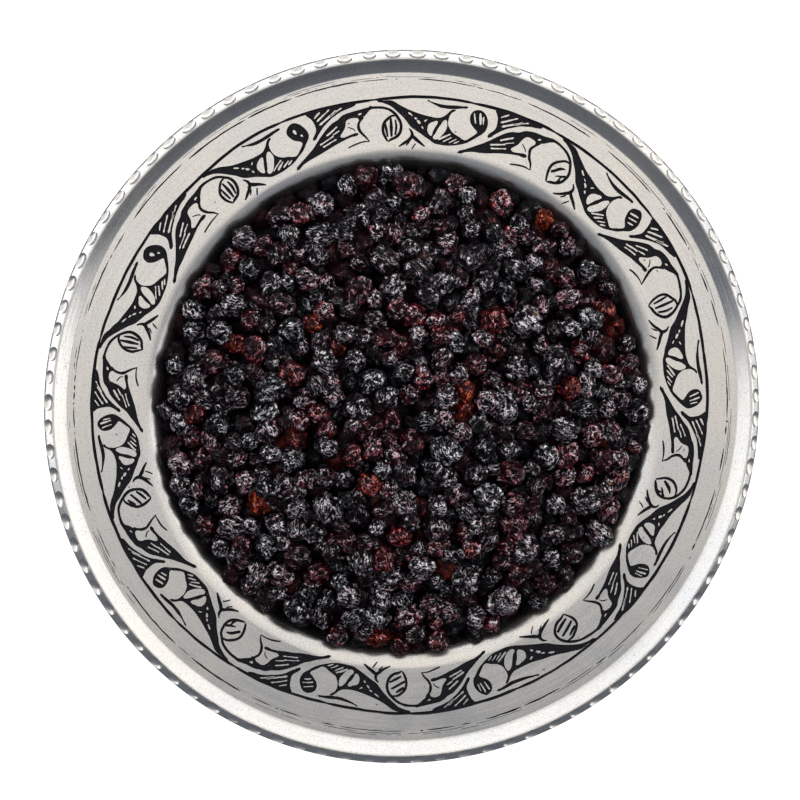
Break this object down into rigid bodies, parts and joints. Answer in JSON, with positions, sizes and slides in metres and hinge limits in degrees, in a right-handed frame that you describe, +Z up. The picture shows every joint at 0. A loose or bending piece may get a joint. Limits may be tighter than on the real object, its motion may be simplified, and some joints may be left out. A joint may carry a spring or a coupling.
{
  "type": "bowl of dried currants",
  "caption": "Round metal bowl with a deep well, an engraved flange and a rolled, punched rim, heaped with dried currants.",
  "frame": {"origin": "middle of the bowl's flat underside", "axes": "+Z up along the bowl's axis; the bowl is round, so +Y is only the side at the picture's top edge and +X the side at its right edge"},
  "size_m": [0.1708, 0.1712, 0.037],
  "materials": {
    "tinned_metal": "satin",
    "dried_currant": "satin"
  },
  "bodies": {
    "root": {"bowl": "tinned_metal", "currants": "dried_currant"}
  },
  "joints": []
}
